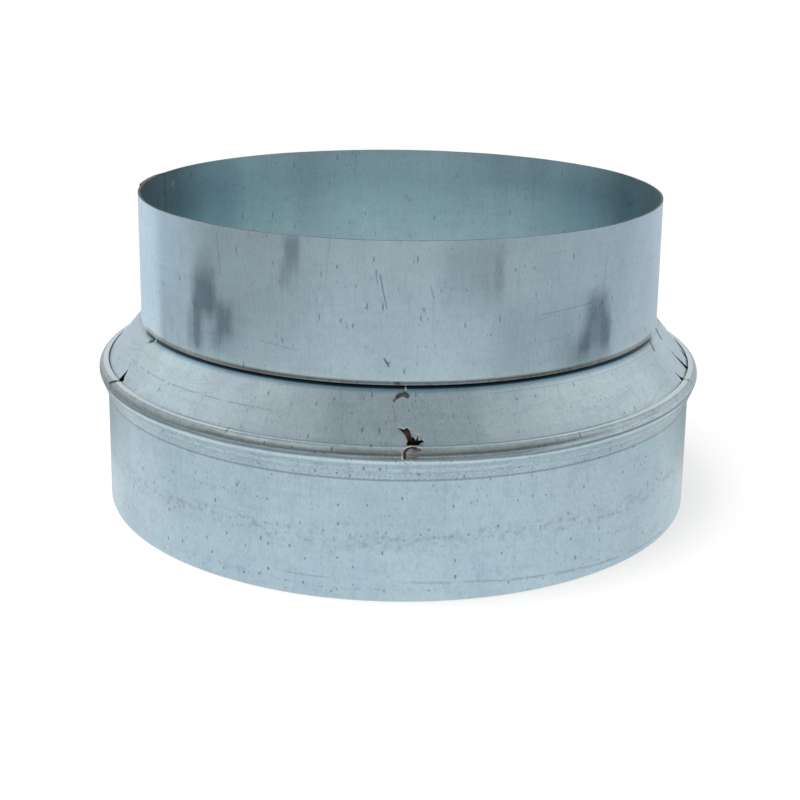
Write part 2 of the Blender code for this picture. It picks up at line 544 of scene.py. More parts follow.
        # bare metal and painted glints, then rust, then grime and painted shade
        self.tone(self.channel(marks, "Blue"), zinc["bareAndGlints"], "MIX")
        self.tone(rust, zinc["rust"], "MIX")
        self.tone(grimeAndShade, zinc["grimeAndShade"], "MIX")
        self.roughness = self.roughness + grimeAndShade * 0.4 + rust * 0.3

    def done(self):
        self.set(**{"Base Color": self.colour, "Roughness": self.roughness, "Metallic": 1.0})
        if isinstance(self.relief, Value):
            self.set(Normal=self.node("ShaderNodeBump", {}, {
                "Height": self.relief, "Strength": zinc["bumpStrength"],
                "Distance": zinc["bumpHeight"]}))
        return self.owner


def cutEdgeFinish():
    # raw steel with dust, and painted near black as shade along the rims and seams
    paint = Paint(bpy.data.materials.new("cutEdge"))
    grain = paint.noise(paint.objectPlace(), 900, 3)
    colour = paint.mixed(grain.ramp(0.5, 0.8), zinc["cut"], zinc["cutDust"])
    paint.set(**{"Base Color": colour, "Metallic": 0.8, "Roughness": 0.5})
    return paint.owner


def hemEdgeFinish():
    # bare steel, painted pale as a highlight along the hem's corner
    paint = Paint(bpy.data.materials.new("hemEdge"))
    paint.set(**{"Base Color": zinc["hem"], "Metallic": 0.6, "Roughness": 0.6})
    return paint.owner


def closedSeam(skin):
    # at both sides the small collar sits tight on the cone
    return abs(skin.azimuth).band(90, 20, 5)


def seamFinish():
    skin = Finish("seamEdge", zinc["seam"])
    # painted shade: the foot's cut edge is near black where the seam stands open, and zinc where it
    # is closed
    skin.tone(closedSeam(skin), zinc["outside"], "MIX")
    skin.wearAndPaintedLight()
    skin.roughness = 0.6
    return skin.done()


insideFlanks = [
    # painted light and shade: first and last azimuth, softness, tint
    (-104, -84, 14, (0.76, 0.76, 0.76)),
    (138, 147, 7, (1.16, 1.16, 1.15)),
    (-148, -138, 6, (1.16, 1.17, 1.14)),
    (112, 128, 8, (0.9, 0.92, 0.93)),
    (-128, -112, 8, (0.85, 0.87, 0.88)),
]


def insideFinish():
    skin = Finish("zincInside", zinc["inside"])
    skin.sheetGrain(1.1)
    skin.dross(cell=4.6, size=0.06, share=0.6, depth=0.62, stretch=0.25)
    skin.dross(cell=1.5, size=0.14, share=0.5, depth=0.5, stretch=0.3, crowd=0.58)
    skin.scratches(3, 0.66)
    skin.scratch((-168.0, 92.5), (-167.6, 81.5), 0.1, 0.4)
    skin.scratch((178.9, 76.0), (177.3, 73.2), 0.16, 0.55)
    # painted light and shade on the small collar's inside: paler to its rim, darker at both sides
    # and beside the lap, and paler low down at the back right
    skin.tone(skin.height.ramp(82, 91) * 0.8, (1.2, 1.15, 1.13))
    skin.tone(abs(skin.azimuth).band(90, 22, 22), (0.87, 0.86, 0.86))
    skin.flanks(insideFlanks)
    skin.tone(skin.sector(118, 153, 7) * (1 - skin.height.ramp(76, 86)), (1.11, 1.11, 1.1))
    lapShade = skin.sector(-105.2, -101.6, 1.2) * skin.height.ramp(56, 58)
    skin.tone(lapShade, (0.74, 0.74, 0.74))
    # a painted glint: a short bright stroke inside, beside the lap
    skin.scratch((-109.2, 89.4), (-108.9, 87.2), 0.45, 0.8, (2.0, 1.85, 1.7))
    return skin.done()


cutEdge = cutEdgeFinish()
hemEdge = hemEdgeFinish()
seamEdge = seamFinish()
zincInside = insideFinish()
print("shared finishes made")


# Crimps, where the tool locked the sheets together. Strokes and tears are drawn in millimetres, to
# the right of the crimp and up the cone from the hem's edge, or down the bead when negative.

strokes = {
    # path, half width, depth, and how much grime, rust and bare metal it shows; the grime in the
    # dents is partly painted shade, and the thin bare strokes at the foot's seam and along raised
    # edges are painted glints
    "burst": [
        ([(-2.2, 13.4), (-1.3, 14), (-0.3, 14), (0.3, 13.5)], 0.62, 0.22, (0.5, 0.5, 0)),
        ([(-3.1, 12.2), (-2.9, 12.6), (-2.2, 13.5)], 0.34, 0.15, (0.5, 0.4, 0)),
        ([(-2.4, 13.5), (-1.4, 14.35), (-0.2, 14.45), (0.5, 13.9)], 0.3, 0.1, (0.72, 0, 0)),
        ([(-0.15, 15.15), (-0.15, 15.9)], 0.15, 0, (0, 0, 1)),
        ([(-3.5, 11.1), (-2.9, 8.5), (-2.7, 6.6)], 0.2, 0.04, (0.22, 0, 0)),
        ([(-0.5, -4.1), (-0.6, -2.6), (0.3, -1.6), (1.4, -1.1), (2.3, -1.3)],
         0.42, 0.2, (0.74, 0.6, 0)),
        ([(-1.1, -4.4), (-1.1, -2.7), (-0.2, -1.2), (1.2, -0.4)], 0.2, -0.05, (0, 0, 0.9)),
        ([(1.8, -1.9), (3.2, -2.1)], 0.55, 0.12, (0.3, 0.8, 0)),
        ([(0.4, -2.9), (1.9, -3.3)], 0.95, 0.22, (0, 0, 0.12)),
        ([(-0.6, -5.4), (0.3, -6.1), (1.1, -5.4)], 0.22, 0.1, (0.3, 0, 0)),
        ([(-0.4, -5), (0.4, -5.6), (1.2, -4.9)], 0.16, -0.05, (0, 0, 0.6)),
        ([(0.9, 4.6), (1.8, 3.4), (3.2, 3)], 0.4, -0.1, (0, 0.22, 0)),
    ],
    "wedge": [
        ([(1.2, 14.4), (2.6, 14.9), (3.4, 15.3)], 0.45, 0.22, (0.8, 0, 0)),
        ([(0.4, 13.6), (2.6, 14.2)], 0.3, 0, (0.2, 0, 0)),
        ([(4.3, 15.15), (4.4, 15.9)], 0.22, 0, (0, 0, 1)),
        ([(-0.5, 6), (0.3, 4)], 0.16, 0.08, (0.35, 0.3, 0)),
        ([(1.4, -0.3), (0.4, -1.3), (-1, -2.7)], 0.62, 0.2, (0.74, 0.4, 0)),
        ([(0, -0.6), (-1.1, -1.9)], 0.2, -0.05, (0, 0, 0.6)),
        ([(1.2, -1.8), (0.8, -3.4)], 0.7, 0.18, (0.12, 0, 0)),
    ],
    "crack": [
        ([(-2.2, 15.2), (-2.6, 14), (-3.2, 12.8)], 0.85, 0.15, (0.45, 0, 0)),
        ([(0.6, 3.4), (1.2, 1.6), (1.5, 0.3)], 0.2, 0.14, (0.85, 0, 0)),
        ([(1.5, -0.3), (2, -1.6), (2.3, -3)], 0.34, 0.22, (0.6, 0.2, 0)),
        ([(2.6, -0.6), (3, -2.2)], 0.6, 0.2, (0.1, 0, 0)),
    ],
    "scar": [
        ([(0.4, 15.6), (-0.6, 14.6), (-1.6, 12.9)], 0.6, 0.15, (0.7, 0, 0)),
        ([(-1, 7.6), (-0.4, 5), (0.2, 2.4)], 0.4, 0.12, (0.7, 0, 0)),
    ],
}

tears = {
    # the outlines of the holes
    "burst": [(-1.9, 5.0), (-1.2, 4.3), (-0.3, 3.4), (0.3, 1.9), (0.1, 0.6), (2.8, 0.4), (3.4, 1.0),
              (4.2, 1.5), (3.8, 1.8), (2.9, 1.6), (2.8, 2.6), (2.4, 1.5), (1.6, 2.7), (1.3, 2.2),
              (0.9, 3.7), (0.4, 4.8), (0.0, 5.0), (-0.5, 4.4)],
    "wedge": [(0.7, 4.3), (0.3, 2.4), (-0.3, 0.4), (2.2, 0.2), (2.8, 1.4), (1.8, 1.8), (1.3, 3.0)],
    "crack": [(0.1, 3.6), (0.5, 1.5), (0.3, 0.3), (2.8, 0.2), (2.2, 1.0), (1.3, 1.6)],
    "scar": [(-0.6, 5.8), (-0.2, 3.0), (0.0, 0.4), (3.3, 0.3), (2.1, 1.5), (0.9, 3.4)],
}

ticks = {"burst": -0.1, "wedge": 3.1}    # degrees from the crimp to where the seam is bridged

crimps = [
    {"azimuth": 1.5, "kind": "burst", "flip": 1},
    {"azimuth": -63.5, "kind": "wedge", "flip": 1},
    {"azimuth": 67.5, "kind": "crack", "flip": 1},
    {"azimuth": 75.0, "kind": "scar", "flip": 1},
    {"azimuth": 84.0, "kind": "scar", "flip": -1},
    {"azimuth": 124, "kind": "wedge", "flip": -1},
    {"azimuth": -177, "kind": "burst", "flip": -1},
    {"azimuth": -120, "kind": "crack", "flip": -1},
]
crimpSpots = [crimp["azimuth"] + crimp["flip"] * 0.5 for crimp in crimps]    # their middles

pressing = {
    "reach": 7,               # mm to each side of a crimp, and nothing beyond
    "waver": 0.12,            # mm, of the edges of the strokes
    "raised": 0.12,           # mm that a torn edge stands up
    "tongue": (-0.75 * mm, -1.0 * mm),    # outer and inner side of the metal behind a tear
    "cutterReach": 2 * mm,    # of a tear's cutter, to each side of the cone
}


def fromPath(spot, path):
    # how far a spot is from a path of straight stretches
    nearest = math.inf
    for start, end in zip(path, path[1:]):
        stretch = Vector(end) - Vector(start)
        share = min(1, max(0, (spot - Vector(start)).dot(stretch) / stretch.length_squared))
        nearest = min(nearest, (spot - Vector(start) - stretch * share).length)
    return nearest


def crimpMarks(azimuth, radius, reach):
    # how far the sheet is pressed in at a spot, in metres, and its grime and painted shade, rust,
    # and bare metal and painted glints
    depth = 0
    markTints = [0, 0, 0]
    for crimp in crimps:
        aside = math.radians(apart(azimuth, crimp["azimuth"])) * radius / mm
        if abs(aside) > pressing["reach"]:
            continue
        spot = Vector((aside * crimp["flip"], reach / mm))
        waver = noise.noise(Vector((spot.x * 3, spot.y * 3, crimp["azimuth"]))) * pressing["waver"]
        for path, half, pressed, shown in strokes[crimp["kind"]]:
            near = 1 - smooth(half * 0.45, half * 1.25, fromPath(spot, path) + waver)
            depth += pressed * near
            markTints = [max(most, share * near) for most, share in zip(markTints, shown)]
        if spot.y > 0:
            # the torn edge stands up and shows raw metal
            edge = fromPath(spot, tears[crimp["kind"]] + tears[crimp["kind"]][:1])
            depth -= pressing["raised"] * (1 - smooth(0.1, 0.7, edge))
            markTints[1] = max(markTints[1], 0.5 * (1 - smooth(0.08, 0.35, edge)))
            markTints[2] = max(markTints[2], 0.12 * (1 - smooth(0.15, 0.5, edge)))
    return depth * mm, markTints


def wander(azimuth, pace, seed):
    # a slow unevenness that closes on itself round the duct
    angle = math.radians(azimuth)
    return noise.noise(Vector((math.cos(angle) * pace, math.sin(angle) * pace, seed)))


# Large collar, with the rolled bead and the hem that holds the cone

large = {
    "wallRadius": 89.7 * mm,
    "wallTop": 33.0 * mm,
    "beadRadius": 2.5 * mm,
    "beadHeight": 39.9 * mm,
    "hemAngle": 96,
    "creaseRadius": 0.8 * mm,
    "lapStart": 145,          # azimuth of the inner end of the rolled sheet
    "lapWidth": 10,           # degrees, as the rise
    "lapRise": 2.3,
    "unevenness": 0.04 * mm,
    "rimWaver": 0.1 * mm,
    "step": 1.2,              # degrees between sections
    "fineStep": 0.17,         # and beside the crimps
    "fineReach": 3.6,
    "rings": [
        # painted shade lines at the hem, along the flank's grooves and in the crease, and a darker
        # band on the flank:
        # height, half width and softness in mm, strength, tint, from the hem to the crease
        (41.96, 0.06, 0.08, 1.0, (0.8, 0.78, 0.76)),
        (37.5, 0.3, 0.35, 0.55, (0.72, 0.75, 0.78)),
        (36.8, 0.05, 0.2, 0.45, (0.62, 0.66, 0.7)),
        (35.3, 0.05, 0.18, 0.4, (0.62, 0.66, 0.7)),
        (33.0, 0.12, 0.35, 0.75, (0.48, 0.5, 0.53)),
    ],
}
hemAngle = math.radians(large["hemAngle"])
hemDirection = Vector((math.cos(hemAngle), math.sin(hemAngle)))
beadCentre = Vector((large["wallRadius"], large["beadHeight"]))


def largeOutline():
    bead = large["beadRadius"]
    corner = Vector((large["wallRadius"], large["wallTop"]))
    reach = corner - beadCentre
    flank = math.atan2(reach.y, reach.x) + math.acos(bead / reach.length)
    outline = Outline(*(beadCentre + hemDirection * bead))
    outline.arc(*beadCentre, math.degrees(flank) - large["hemAngle"], steps=24)
    lean = (outline.points[-1] - corner).normalized()
    half = lean.angle(Vector((0, -1))) / 2
    tangent = large["creaseRadius"] / math.tan(half)
    outline.line(*(corner + lean * tangent), steps=16)
    crease = corner.x + large["creaseRadius"]
    outline.arc(crease, corner.y - tangent, 180 - math.degrees(2 * half), steps=4)
    outline.line(large["wallRadius"], 0, steps=12)
    return outline


def lapLift(azimuth, first, piece):
    # how far the outer end of a rolled sheet has stepped out, just before its inner end
    top = first + 359.3
    return (sheet["thickness"] + sheet["gap"]) * smooth(top - piece["lapRise"], top, azimuth)


def largeShift(azimuth, point, normal, reach):
    height = point.y / mm
    depth, markTints = crimpMarks(azimuth, point.x, min(reach, -0.01 * mm))
    dent = lapLift(azimuth, large["lapStart"] - 360, large) - depth
    dent += large["unevenness"] * wander(azimuth * 3, 2, 5) * smooth(0, 5, height)
    droop = large["rimWaver"] * wander(azimuth, 2, 9)
    return normal.x * dent, normal.y * dent + droop * smooth(6, 0, height), markTints


def beadTones(skin):
    # darker towards the hem with a painted highlight on its top, a scored brown-grey band down to
    # the nose with painted light and shade across it, and a painted highlight below it
    scored = skin.drawnNoise(0.06, 9, 3, 0.6)
    mottled = skin.drawnNoise(0.35, 1.2, 4, 0.7)
    sparkle = skin.noise(skin.scaled(skin.flat, 1, 2, 1), 1.2, 3, 0.7)
    drift = (skin.noise(skin.scaled(skin.place, 1, 1, 0), 35, 2) - 0.5) * 0.9
    level = skin.height + drift + skin.azimuth.ramp(2, 12) * skin.azimuth.ramp(40, 24) * 0.45
    level = level + (mottled - 0.5) * 0.5
    rolled = level.band(40.5, 0.9, 0.4)
    gleam = skin.sector(-24, -14, 9)
    rightSide = skin.azimuth.ramp(20, 34)
    leftSide = skin.azimuth.ramp(-34, -50)
    hemTop = skin.height.ramp(42.08, 42.18)
    shadowedBand = (1 - gleam) * (1 - rightSide)
    # painted highlight along the hem's top, strongest at the front
    skin.tone(hemTop, (1.3, 1.22, 1.16))
    skin.tone(hemTop * skin.sector(-28, 28, 12), (1.42, 1.36, 1.33))
    skin.tone(skin.height.ramp(41.2, 41.7), (0.92, 0.89, 0.87))
    # painted highlight on the band where it gleams, left of the front, and painted shade on it
    # elsewhere but the right
    skin.tone(skin.height.band(41.15, 0.45, 0.25) * gleam, (1.45, 1.4, 1.34))
    skin.tone(skin.height.band(41.15, 0.55, 0.35) * shadowedBand, (0.84, 0.81, 0.78))
    darkened = skin.height.band(40.9, 1.0, 0.4) * mottled.ramp(0.4, 0.62)
    skin.tone(darkened * 0.5, (0.7, 0.66, 0.62))
    skin.tone(rolled * (0.5 * scored), (0.8, 0.75, 0.7))
    # painted light and shade lower on the bead: lighter at the right, darker at the left, and
    # painted shade lines
    skin.tone(skin.height.band(40.3, 0.35, 0.3) * rightSide, (1.6, 1.55, 1.5))
    skin.tone(skin.height.band(40.3, 0.9, 0.35) * leftSide, (0.74, 0.72, 0.7))
    skin.tone(level.band(40.15, 0.35, 0.3), (0.86, 0.84, 0.82))
    skin.tone(skin.height.band(39.8, 0.2, 0.15) * skin.sector(-2, 20, 6), (0.6, 0.58, 0.56))
    skin.tone(level.band(39.42, 0.2, 0.4), (0.5, 0.5, 0.5))
    # painted highlight under the nose, broken up by noise
    skin.tone(skin.height.band(38.5, 0.25, 0.4) * (0.4 + sparkle), (1.22, 1.18, 1.14))
    darkened = skin.height.band(36.6, 0.7, 0.5) * mottled.ramp(0.45, 0.6)
    skin.tone(darkened * 0.45, (0.66, 0.68, 0.7))
    skin.relief = skin.relief + scored * rolled * 0.6


def creaseSpeckles(skin):
    # brownish speckles above the crease
    speckles = skin.noise(skin.flat, 1.6, 3, 0.7)
    patchy = 0.35 + 0.65 * skin.noise(skin.place, 30, 1).ramp(0.4, 0.6)
    rim = skin.height.band(34.6, 1.3, 0.6)
    skin.tone(skin.height.band(34.4, 1.0, 0.6) * patchy * 0.4, (0.74, 0.71, 0.68))
    skin.tone(rim * speckles.ramp(0.45, 0.65) * 0.42, (0.55, 0.53, 0.52))
    skin.tone(rim * speckles.ramp(0.52, 0.32) * 0.45, (1.3, 1.26, 1.22))


def wallDirt(skin):
    # a wavy band of dirt, a water mark, and a thin brown tide line that sinks to the right
    waves = skin.noise(skin.scaled(skin.place, 1, 1, 0), 28, 2) - 0.5
    blotches = skin.noise(skin.flat, 0.55, 4, 0.65)
    broken = skin.drawnNoise(0.16, 0, 2).ramp(0.38, 0.5)
    dirt = (skin.height - waves * 7).band(17, 0.8, 3.0) * blotches.ramp(0.47, 0.66)
    skin.tone(dirt * 0.55, (0.62, 0.58, 0.56))
    mark = (skin.height - waves * 5 - 3.6).band(0, 0.06, 0.3) * blotches.ramp(0.48, 0.66)
    skin.tone(mark * 0.5, (0.5, 0.52, 0.54))
    tide = skin.height - 5.4 + skin.azimuth.ramp(-5, 60) * 4.2 + (blotches - 0.5) * 1.6
    tide = tide.band(0, 0.16, 0.35) * skin.sector(4, 58, 6)
    skin.tone(tide * broken * 0.6, (0.7, 0.67, 0.65))
    streak = skin.height.band(5.6, 0.1, 0.25) * skin.sector(-17, -12, 2)
    skin.tone(streak * 0.5, (0.62, 0.66, 0.7))


def largeFinish():
    skin = Finish("zincLargeCollar", zinc["outside"])
    skin.sheetGrain(1.2)
    skin.dross(cell=4.1, size=0.078, share=0.8, depth=0.7, stretch=0.55)
    skin.dross(cell=2.3, size=0.085, share=0.35, depth=0.42, stretch=0.6)
    skin.dross(cell=1.3, size=0.17, share=0.55, depth=0.6, stretch=0.5, crowd=0.6)
    beadTones(skin)
    creaseSpeckles(skin)
    skin.rings(large["rings"])
    skin.tone(skin.height.ramp(24, 8), (1.03, 1.03, 1.04))
    wallDirt(skin)
    skin.wearAndPaintedLight()
    return skin.done()


def makeLargeCollar():
    first = large["lapStart"] - 360
    stops = stopsAround(first, first + 360 + large["lapWidth"], crimpSpots, large)
    bm = sweep(closedSection(largeOutline().stations(), innerStep=3), stops, largeShift)
    closeUp(bm)
    newPiece("rolled_large_collar", bm, [largeFinish(), zincInside, hemEdge, cutEdge],
             "large_collar")


# Cone ring, pressed, held in the bead and standing up into the small collar

cone = {
    "slope": 51,               # degrees from the horizontal
    "neckRadius": 78.5 * mm,
    "filletRadius": 1.0 * mm,
    "tuckedEdge": 2.2 * mm,    # runs on below the hem
    "gape": 0.75 * mm,         # from the hem, at the right
    "gapeStart": (66, 74),     # azimuths over which it opens
    "gapeEnd": (104, 92),
    "tornZone": 6.5 * mm,      # finely divided, above the hem
    "unevenness": 0.05 * mm,
    "step": 1.2,               # degrees between sections
    "fineStep": 0.18,          # and beside the crimps
    "fineReach": 4.2,
    "tint": (0.52, 0.64, 0.7),
    "flanks": [
        # painted shade over parts of the cone's sides: first and last azimuth, softness, tint
        (-37, -29, 4, (0.94, 0.92, 0.93)),
        (-100, -58, 6, (0.9, 0.89, 0.88)),
        (60, 100, 6, (0.92, 0.91, 0.91)),
    ],
}
slope = math.radians(cone["slope"])
downSlope = Vector((math.cos(slope), -math.sin(slope)))
slopeNormal = Vector((math.sin(slope), math.cos(slope)))
hemFoot = beadCentre + hemDirection * (large["beadRadius"] - sheet["thickness"])
coneSeat = hemFoot - slopeNormal * sheet["gap"]


def coneHeight(radius):
    # of the cone's upper side
    return coneSeat.y + (coneSeat.x - radius) * math.tan(slope)


def coneOutline():
    neck = cone["neckRadius"]
    fillet = cone["filletRadius"]
    corner = Vector((neck, coneHeight(neck)))
    tangent = fillet * math.tan((math.pi / 2 - slope) / 2)
    outline = Outline(neck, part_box("cone_ring")[1].z)
    outline.line(neck, corner.y + tangent, steps=3)
    outline.arc(neck + fillet, corner.y + tangent, 90 - cone["slope"], steps=5)
    outline.line(*(coneSeat - downSlope * cone["tornZone"]), steps=36)
    outline.line(*coneSeat, steps=26)
    outline.line(*(coneSeat + downSlope * cone["tuckedEdge"]), steps=3)
    return outline


def coneShift(azimuth, point, normal, reach):
    depth, markTints = crimpMarks(azimuth, point.x, max(reach, 0.01 * mm))
    dent = -depth
    gape = smooth(*cone["gapeStart"], azimuth) * smooth(*cone["gapeEnd"], azimuth)
    dent -= cone["gape"] * gape * smooth(3.2 * mm, 0.2 * mm, reach)
    dent += cone["unevenness"] * wander(azimuth * 2, 3, 2)
    # painted shade: dark where the cone gapes from the hem
    markTints[0] = max(markTints[0], 0.9 * gape * smooth(0.7 * mm, 0.2 * mm, reach))
    return normal.x * dent, normal.y * dent, markTints


def coneFinish():
    skin = Finish("zincCone", cone["tint"])
    skin.sheetGrain(1.35)
    skin.dross(cell=4.6, size=0.07, share=0.6, depth=0.6, stretch=0.5)
    skin.dross(cell=2.2, size=0.08, share=0.3, depth=0.4, stretch=0.5)
    skin.dross(cell=1.3, size=0.17, share=0.5, depth=0.5, stretch=0.6, crowd=0.58)
    skin.scratches(80, 0.62)
    skin.scratches(-12, 0.64)
    # painted shade on the sides, at the front and at the right front
    skin.flanks(cone["flanks"])
    skin.tone(skin.sector(-10, 12, 5) * 0.2, (0.05, 0.12, 0.12))
    skin.tone(skin.sector(38, 60, 12) * 0.1, (0.1, 0.1, 0.1))
    # shade under the small collar's foot
    under = skin.height - coneHeight(79.7 * mm) / mm
    openSeam = 1 - closedSeam(skin)
    skin.tone(under.ramp(-1.2, 0.0) * (0.3 + 0.7 * openSeam), (0.4, 0.54, 0.64))
    crevice = under + abs(skin.azimuth).ramp(35, 58) * 0.12
    skin.tone(crevice.ramp(-0.15, 0.25) * openSeam, (0.1, 0.1, 0.12))
    # a painted shadow line beside the hem, and fine rings from the press
    skin.tone(skin.height.band(42.5, 0.15, 0.25) * 0.5, (0.9, 0.9, 0.91))
    broken = skin.drawnNoise(0.22, 0, 2).ramp(0.42, 0.52)
    lower = skin.height.band(47.3, 0.05, 0.16) * skin.sector(-66, -24, 3)
    skin.tone(lower * broken * 0.45, (0.42, 0.44, 0.47))
    upper = skin.height.band(52.2, 0.03, 0.15) * skin.sector(18, 62, 4)
    skin.tone(upper * 0.35, (0.5, 0.53, 0.56))
    skin.wearAndPaintedLight()
    return skin.done()


def addPrism(bm, crimp, spots, outer, inner):
    # a prism over an outline beside a crimp, between two lifts from the cone's surface
    middle = math.radians(crimp["azimuth"] - 90)
    corners = []
    for aside, reach in spots:
        place = coneSeat - downSlope * reach * mm + slopeNormal * outer
        angle = middle + crimp["flip"] * aside * mm / place.x
        x = place.x * math.cos(angle)
        y = place.x * math.sin(angle)
        corners.append(bm.verts.new((x, y, place.y)))
    top = bm.faces.new(corners)
    grown = bmesh.ops.extrude_face_region(bm, geom=[top])["geom"]
    sunk = [made for made in grown if isinstance(made, bmesh.types.BMVert)]
    outward = Matrix.Rotation(middle, 3, "Z") @ Vector((slopeNormal.x, 0, slopeNormal.y))
    bmesh.ops.translate(bm, verts=sunk, vec=outward * (inner - outer))
    return corners + sunk


def cutTears(piece):
    bm = bmesh.new()
    for crimp in crimps:
        reach = pressing["cutterReach"]
        addPrism(bm, crimp, tears[crimp["kind"]], reach, -reach)
    bmesh.ops.recalc_face_normals(bm, faces=bm.faces)
    bmesh.ops.triangulate(bm, faces=bm.faces)
    tool = newMeshObject("tearCutters", bm)
    for material in piece.data.materials:
        tool.data.materials.append(material)
    for face in tool.data.polygons:
        face.material_index = sides["upperEdge"]
    cut = piece.modifiers.new("Tears", "BOOLEAN")
    cut.operation = "DIFFERENCE"
    cut.solver = "MANIFOLD"
    cut.object = tool
    graph = bpy.context.evaluated_depsgraph_get()
    torn = bpy.data.meshes.new_from_object(piece.evaluated_get(graph))
    torn.name = piece.name
    piece.modifiers.clear()
    piece.data = torn
    bpy.data.objects.remove(tool, do_unlink=True)


def addTongues(piece):
    # the metal that each crimp pushed in lies rusty behind its tear, and is painted dark, darkest
    # low down, as the shade inside the tear
    bm = bmesh.new()
    bm.from_mesh(piece.data)
    marks = bm.verts.layers.float_color["marks"]
    for crimp in crimps:
        asides = [aside for aside, reach in tears[crimp["kind"]]]
        left = min(asides) - 0.6
        right = max(asides) + 0.6
        top = max(reach for aside, reach in tears[crimp["kind"]]) + 0.7
        patch = [(left, 0.1), (right, 0.1), (right, 1.4), (right, top * 0.6), (right - 0.8, top),
                 (left + 0.8, top), (left, top * 0.7), (left, 1.4)]
        corners = addPrism(bm, crimp, patch, *pressing["tongue"])
        for corner in corners:
            rise = (corner.co.z - coneSeat.y) / mm
            corner[marks] = (0.93 - 0.75 * smooth(1.2, 2.6, rise), 0.9, 0, 1)
        faces = list(dict.fromkeys(face for corner in corners for face in corner.link_faces))
        bmesh.ops.recalc_face_normals(bm, faces=faces)
    bmesh.ops.triangulate(bm, faces=[face for face in bm.faces if len(face.verts) > 4])
    bm.to_mesh(piece.data)
    bm.free()
    shadeByAngle(piece.data)


def makeConeRing():
    stops = stopsAround(90, 450, crimpSpots, cone)
    stations = coneOutline().stations()
    # the reach is taken from the hem's edge
    seatReach = -stations[-1][2] - cone["tuckedEdge"]
    stations = [(point, normal, reach + seatReach) for point, normal, reach in stations]
    bm = sweep(closedSection(stations, innerStep=3), stops, coneShift)
    closeUp(bm)
    piece = newPiece("pressed_cone_ring", bm, [coneFinish(), zincInside, cutEdge, cutEdge],
                     "cone_ring")
    cutTears(piece)
    addTongues(piece)


# Small collar, rolled, pushed down onto the cone

small = {
    "wallRadius": 79.4 * mm,
    "flareRadius": 1.9 * mm,
    "flareAngle": 35,
    "footGap": 0.2 * mm,      # between the foot's edge and the cone
    "lapStart": -100,         # azimuth of the inner end of the rolled sheet
    "lapWidth": 11,           # degrees, as the rise
    "lapRise": 5,
    "unevenness": 0.1 * mm,
    "rimWaver": 0.1 * mm,
    "footWaver": 0.05 * mm,
    "drawnIn": 0.85,          # share of the flare that is closed at both sides
    "drawnStart": (66, 76),   # degrees from the front over which it closes
    "drawnEnd": (114, 104),   # and opens again
    "pressedDown": 0.1 * mm,  # the foot sinks there, and at the crimps
    "footZone": 4 * mm,       # finely divided
    "step": 1.2,              # degrees between sections
    "fineStep": 0.2,          # and beside the crimps and the lap
    "fineReach": 2.6,
    "tint": (0.46, 0.58, 0.65),
    "flanks": [
        # painted light, paler at both sides: first and last azimuth, softness, tint
        (-100, -62, 7, (1.38, 1.36, 1.32)),
        (57, 100, 8, (1.12, 1.07, 1.04)),
    ],
    "scratches": [
        # start and end as azimuth and height, half width in mm, strength
        ((-3.6, 84.1), (-2.2, 74.6), 0.14, 0.75),
        ((-4.4, 85.0), (-3.9, 80.8), 0.14, 0.55),
        ((5.6, 81.1), (6.4, 77.2), 0.12, 0.55),
        ((4.4, 75.4), (4.7, 73.9), 0.25, 0.6),
        ((-37.3, 91.0), (-36.5, 79.3), 0.1, 0.55),
        ((-2.7, 61.9), (-1.6, 59.4), 0.24, 1.0),
        ((-2.1, 60.7), (-1.4, 60.6), 0.22, 0.9),
        ((-22.5, 65.4), (-22.0, 63.6), 0.25, 0.6),
        ((-27.5, 63.6), (-19.0, 62.4), 0.1, 0.35),
        ((27.5, 71.4), (41.0, 72.4), 0.1, 0.45),
        ((18.9, 72.6), (19.1, 70.4), 0.22, 0.5),
        # nicks in the foot
        ((-0.9, 55.35), (0.5, 55.3), 0.3, 0.9),
        ((-2.1, 55.6), (-1.8, 55.5), 0.2, 0.9),
    ],
    "darkReflections": [
        # painted dark reflections, soft: azimuth, height, half width in degrees, half height in mm,
        # strength
        (-41.2, 73.5, 4.0, 7.5, 0.9),
        (-41.0, 82.0, 2.8, 4.5, 0.25),
        (-43.5, 64.5, 1.0, 7.0, 0.85),
        (-35.6, 67.0, 2.4, 5.5, 0.6),
        (-37.5, 61.5, 1.8, 3.5, 0.35),
        (-20.2, 88.5, 1.8, 5.5, 0.6),
        (-21.6, 82.0, 1.6, 4.5, 0.32),
        (13.5, 84.0, 6.5, 11.0, 0.3),
        (18.8, 83.0, 1.1, 8.0, 0.32),
        (42.0, 68.0, 3.8, 8.5, 0.9),
        (45.2, 63.5, 1.7, 5.5, 0.75),
        (38.6, 62.0, 1.8, 4.5, 0.45),
        (40.5, 58.5, 7.0, 5.5, 0.5),
        (-44.3, 62.0, 3.0, 7.0, 0.55),
        (-38.0, 65.0, 8.0, 11.0, 0.3),
        (118, 72, 3.0, 10, 0.5),
        (-132, 76, 3.0, 12, 0.5),
    ],
}


def smallOutline():
    flare = math.radians(small["flareAngle"])
    reach = small["flareRadius"] + sheet["thickness"]
    centre = small["wallRadius"] + small["flareRadius"]
    edgeHeight = coneHeight(centre - reach * math.cos(flare)) + small["footGap"]
    flareHeight = edgeHeight + reach * math.sin(flare)
    outline = Outline(small["wallRadius"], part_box("small_collar")[1].z)
    outline.line(small["wallRadius"], flareHeight + small["footZone"], steps=14)
    outline.line(small["wallRadius"], flareHeight, steps=8)
    outline.arc(centre, flareHeight, small["flareAngle"], steps=6)
    return outline


def bridged(azimuth):
    # 1 where a crimp has pushed the foot down onto the cone
    tick = 0
    for crimp in crimps:
        if crimp["kind"] in ticks:
            spot = crimp["azimuth"] + crimp["flip"] * ticks[crimp["kind"]]
            tick = max(tick, 1 - smooth(0.1, 0.25, abs(apart(azimuth, spot))))
    return tick


